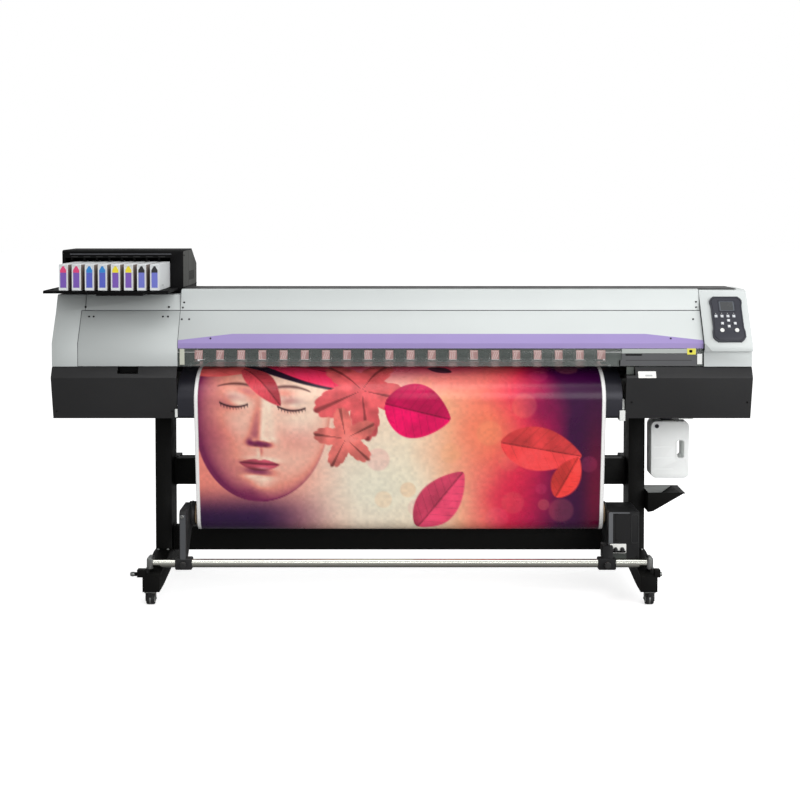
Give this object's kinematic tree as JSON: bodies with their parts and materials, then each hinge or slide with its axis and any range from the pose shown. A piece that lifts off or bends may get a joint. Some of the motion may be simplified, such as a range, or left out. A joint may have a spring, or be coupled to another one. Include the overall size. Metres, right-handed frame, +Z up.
{
  "type": "roll printer and cutter",
  "caption": "Wide roll-fed inkjet sign printer on a wheeled stand, with cartridge bay, hinged front cover, operator panel, media take-up unit and waste ink bottle.",
  "frame": {"origin": "bottom centre of the whole machine, on the floor", "axes": "+X to the operator's right along the machine, -Y to the operator, +Z up"},
  "size_m": [2.775, 0.7, 1.392],
  "materials": {
    "light_casing": "satin",
    "black_casing": "fine grain",
    "slate_panel": "satin",
    "heater_plate": "satin",
    "stand_paint": "powder coat",
    "steel": "brushed",
    "chrome": "polished",
    "clear_window": "clear acrylic",
    "cartridge_plastic": "satin",
    "key_rubber": "matte",
    "bottle_plastic": "translucent",
    "vinyl": "printed vinyl",
    "caster_rubber": "matte"
  },
  "bodies": {
    "frame": {"left_upper_cover": "light_casing", "top_front_panel": "light_casing", "right_upper_cover": "light_casing", "top_cover": "black_casing", "left_lower_cover": "black_casing", "right_lower_cover": "black_casing", "base_frame": "steel", "platen": "steel", "post_heater": "heater_plate", "pre_heater": "heater_plate", "guide_rail": "steel", "media_sheet": "vinyl", "ink_station_housing": "black_casing", "cartridge_tray": "black_casing", "control_panel": "slate_panel", "left_leg": "stand_paint", "right_leg": "stand_paint", "mid_cross_beam": "stand_paint", "lower_cross_beam": "stand_paint", "take_up_rail": "chrome", "take_up_motor_box": "black_casing", "drip_tray": "stand_paint"},
    "front_cover": {"front_cover": "light_casing", "front_window": "clear_window"},
    "maintenance_door": {"left_maintenance_door": "light_casing"},
    "carriage": {"carriage": "black_casing"},
    "cutter": {"cutter_unit": "black_casing"},
    "feed_roller": {"feed_roller": "steel"},
    "supply_roll": {"supply_roll": "vinyl"},
    "take_up_roll": {"take_up_roll": "vinyl"},
    "pinch_rollers": {"pinch_roller_bar": "slate_panel"},
    "clamp_lever": {"clamp_lever": "black_casing"},
    "take_up_holder": {"take_up_holder": "black_casing"},
    "direction_switch": {"take_up_direction_switch": "black_casing"},
    "mode_switch": {"take_up_mode_switch": "black_casing"},
    "waste_bottle": {"waste_ink_bottle": "bottle_plastic"},
    "left_caster": {"left_front_caster_fork": "steel"},
    "left_front_wheel": {"left_front_wheel": "caster_rubber"},
    "left_rear_wheel": {"left_rear_wheel": "caster_rubber"},
    "right_caster": {"right_front_caster_fork": "steel"},
    "right_front_wheel": {"right_front_wheel": "caster_rubber"},
    "right_rear_wheel": {"right_rear_wheel": "caster_rubber"},
    "ink_cartridge_1": {"ink_cartridge_1": "cartridge_plastic"},
    "ink_cartridge_2": {"ink_cartridge_2": "cartridge_plastic"},
    "ink_cartridge_3": {"ink_cartridge_3": "cartridge_plastic"},
    "ink_cartridge_4": {"ink_cartridge_4": "cartridge_plastic"},
    "ink_cartridge_5": {"ink_cartridge_5": "cartridge_plastic"},
    "ink_cartridge_6": {"ink_cartridge_6": "cartridge_plastic"},
    "ink_cartridge_7": {"ink_cartridge_7": "cartridge_plastic"},
    "ink_cartridge_8": {"ink_cartridge_8": "cartridge_plastic"},
    "function_key_1": {"function_key_1": "key_rubber"},
    "function_key_2": {"function_key_2": "key_rubber"},
    "function_key_3": {"function_key_3": "key_rubber"},
    "function_key_4": {"function_key_4": "key_rubber"},
    "up_arrow_key": {"up_arrow_key": "key_rubber"},
    "down_arrow_key": {"down_arrow_key": "key_rubber"},
    "left_arrow_key": {"left_arrow_key": "key_rubber"},
    "right_arrow_key": {"right_arrow_key": "key_rubber"},
    "end_key": {"end_key": "key_rubber"},
    "enter_key": {"enter_key": "key_rubber"}
  },
  "joints": [
    {"name": "front_cover_hinge", "type": "hinge", "parent": "frame", "child": "front_cover", "pos_m": [0, -0.205, 1.1545], "axis": [-1, 0, 0], "range_deg": [0, 70]},
    {"name": "maintenance_door_hinge", "type": "hinge", "parent": "frame", "child": "maintenance_door", "pos_m": [0, -0.205, 1.1545], "axis": [-1, 0, 0], "range_deg": [0, 80]},
    {"name": "carriage_slide", "type": "slide", "parent": "frame", "child": "carriage", "axis": [-1, 0, 0], "range_m": [0, 2.24]},
    {"name": "cutter_drop", "type": "slide", "parent": "carriage", "child": "cutter", "axis": [0, 0, -1], "range_m": [0, 0.02], "stiffness_N_per_m": 400, "springref_m": -0.02},
    {"name": "supply_roll_turn", "type": "hinge", "parent": "frame", "child": "supply_roll", "pos_m": [0, 0.235, 0.46], "axis": [1, 0, 0], "continuous": true},
    {"name": "feed_roller_turn", "type": "hinge", "parent": "frame", "child": "feed_roller", "pos_m": [0, 0.105, 0.9063], "axis": [1, 0, 0], "continuous": true},
    {"name": "take_up_roll_turn", "type": "hinge", "parent": "frame", "child": "take_up_roll", "pos_m": [0, -0.16, 0.33], "axis": [1, 0, 0], "continuous": true},
    {"name": "clamp_lever_turn", "type": "hinge", "parent": "frame", "child": "clamp_lever", "pos_m": [0.864, 0.205, 0.9], "axis": [-1, 0, 0], "range_deg": [0, 40]},
    {"name": "pinch_roller_lift", "type": "hinge", "parent": "frame", "child": "pinch_rollers", "pos_m": [0, 0.125, 0.965], "axis": [-1, 0, 0], "range_deg": [0, 8]},
    {"name": "take_up_holder_slide", "type": "slide", "parent": "frame", "child": "take_up_holder", "axis": [-1, 0, 0], "range_m": [0, 0.06]},
    {"name": "direction_switch_turn", "type": "hinge", "parent": "frame", "child": "direction_switch", "pos_m": [0.853, -0.283, 0.213], "axis": [0, -1, 0], "range_deg": [-45, 45]},
    {"name": "mode_switch_turn", "type": "hinge", "parent": "frame", "child": "mode_switch", "pos_m": [0.88, -0.283, 0.213], "axis": [0, -1, 0], "range_deg": [-45, 45]},
    {"name": "waste_bottle_slide", "type": "slide", "parent": "frame", "child": "waste_bottle", "axis": [0, -1, 0], "range_m": [0, 0.2]},
    {"name": "left_caster_swivel", "type": "hinge", "parent": "frame", "child": "left_caster", "pos_m": [-0.983, -0.315, 0.055], "axis": [0, 0, 1], "continuous": true},
    {"name": "left_front_wheel_roll", "type": "hinge", "parent": "left_caster", "child": "left_front_wheel", "pos_m": [-0.983, -0.303, 0.024], "axis": [1, 0, 0], "continuous": true},
    {"name": "left_rear_wheel_roll", "type": "hinge", "parent": "frame", "child": "left_rear_wheel", "pos_m": [-0.983, 0.315, 0.024], "axis": [1, 0, 0], "continuous": true},
    {"name": "right_caster_swivel", "type": "hinge", "parent": "frame", "child": "right_caster", "pos_m": [0.983, -0.315, 0.055], "axis": [0, 0, 1], "continuous": true},
    {"name": "right_front_wheel_roll", "type": "hinge", "parent": "right_caster", "child": "right_front_wheel", "pos_m": [0.983, -0.303, 0.024], "axis": [1, 0, 0], "continuous": true},
    {"name": "right_rear_wheel_roll", "type": "hinge", "parent": "frame", "child": "right_rear_wheel", "pos_m": [0.983, 0.315, 0.024], "axis": [1, 0, 0], "continuous": true},
    {"name": "ink_cartridge_1_slide", "type": "slide", "parent": "frame", "child": "ink_cartridge_1", "axis": [0, -1, 0], "range_m": [0, 0.3]},
    {"name": "ink_cartridge_2_slide", "type": "slide", "parent": "frame", "child": "ink_cartridge_2", "axis": [0, -1, 0], "range_m": [0, 0.3]},
    {"name": "ink_cartridge_3_slide", "type": "slide", "parent": "frame", "child": "ink_cartridge_3", "axis": [0, -1, 0], "range_m": [0, 0.3]},
    {"name": "ink_cartridge_4_slide", "type": "slide", "parent": "frame", "child": "ink_cartridge_4", "axis": [0, -1, 0], "range_m": [0, 0.3]},
    {"name": "ink_cartridge_5_slide", "type": "slide", "parent": "frame", "child": "ink_cartridge_5", "axis": [0, -1, 0], "range_m": [0, 0.3]},
    {"name": "ink_cartridge_6_slide", "type": "slide", "parent": "frame", "child": "ink_cartridge_6", "axis": [0, -1, 0], "range_m": [0, 0.3]},
    {"name": "ink_cartridge_7_slide", "type": "slide", "parent": "frame", "child": "ink_cartridge_7", "axis": [0, -1, 0], "range_m": [0, 0.3]},
    {"name": "ink_cartridge_8_slide", "type": "slide", "parent": "frame", "child": "ink_cartridge_8", "axis": [0, -1, 0], "range_m": [0, 0.3]},
    {"name": "function_key_1_press", "type": "slide", "parent": "frame", "child": "function_key_1", "axis": [0, 0.8624, -0.5063], "range_m": [0, 0.0012], "stiffness_N_per_m": 300, "springref_m": -0.0008},
    {"name": "function_key_2_press", "type": "slide", "parent": "frame", "child": "function_key_2", "axis": [0, 0.8624, -0.5063], "range_m": [0, 0.0012], "stiffness_N_per_m": 300, "springref_m": -0.0008},
    {"name": "function_key_3_press", "type": "slide", "parent": "frame", "child": "function_key_3", "axis": [0, 0.8624, -0.5063], "range_m": [0, 0.0012], "stiffness_N_per_m": 300, "springref_m": -0.0008},
    {"name": "function_key_4_press", "type": "slide", "parent": "frame", "child": "function_key_4", "axis": [0, 0.8624, -0.5063], "range_m": [0, 0.0012], "stiffness_N_per_m": 300, "springref_m": -0.0008},
    {"name": "up_arrow_key_press", "type": "slide", "parent": "frame", "child": "up_arrow_key", "axis": [0, 0.8624, -0.5063], "range_m": [0, 0.0012], "stiffness_N_per_m": 300, "springref_m": -0.0008},
    {"name": "down_arrow_key_press", "type": "slide", "parent": "frame", "child": "down_arrow_key", "axis": [0, 0.8624, -0.5063], "range_m": [0, 0.0012], "stiffness_N_per_m": 300, "springref_m": -0.0008},
    {"name": "left_arrow_key_press", "type": "slide", "parent": "frame", "child": "left_arrow_key", "axis": [0, 0.8624, -0.5063], "range_m": [0, 0.0012], "stiffness_N_per_m": 300, "springref_m": -0.0008},
    {"name": "right_arrow_key_press", "type": "slide", "parent": "frame", "child": "right_arrow_key", "axis": [0, 0.8624, -0.5063], "range_m": [0, 0.0012], "stiffness_N_per_m": 300, "springref_m": -0.0008},
    {"name": "end_key_press", "type": "slide", "parent": "frame", "child": "end_key", "axis": [0, 0.8624, -0.5063], "range_m": [0, 0.0012], "stiffness_N_per_m": 300, "springref_m": -0.0008},
    {"name": "enter_key_press", "type": "slide", "parent": "frame", "child": "enter_key", "axis": [0, 0.8624, -0.5063], "range_m": [0, 0.0012], "stiffness_N_per_m": 300, "springref_m": -0.0008}
  ],
  "couplings": [
    {"joint": "feed_roller_turn", "follows": "supply_roll_turn", "ratio": 6.1475},
    {"joint": "take_up_roll_turn", "follows": "supply_roll_turn", "ratio": 1.2136},
    {"joint": "pinch_roller_lift", "follows": "clamp_lever_turn", "ratio": 0.2}
  ]
}
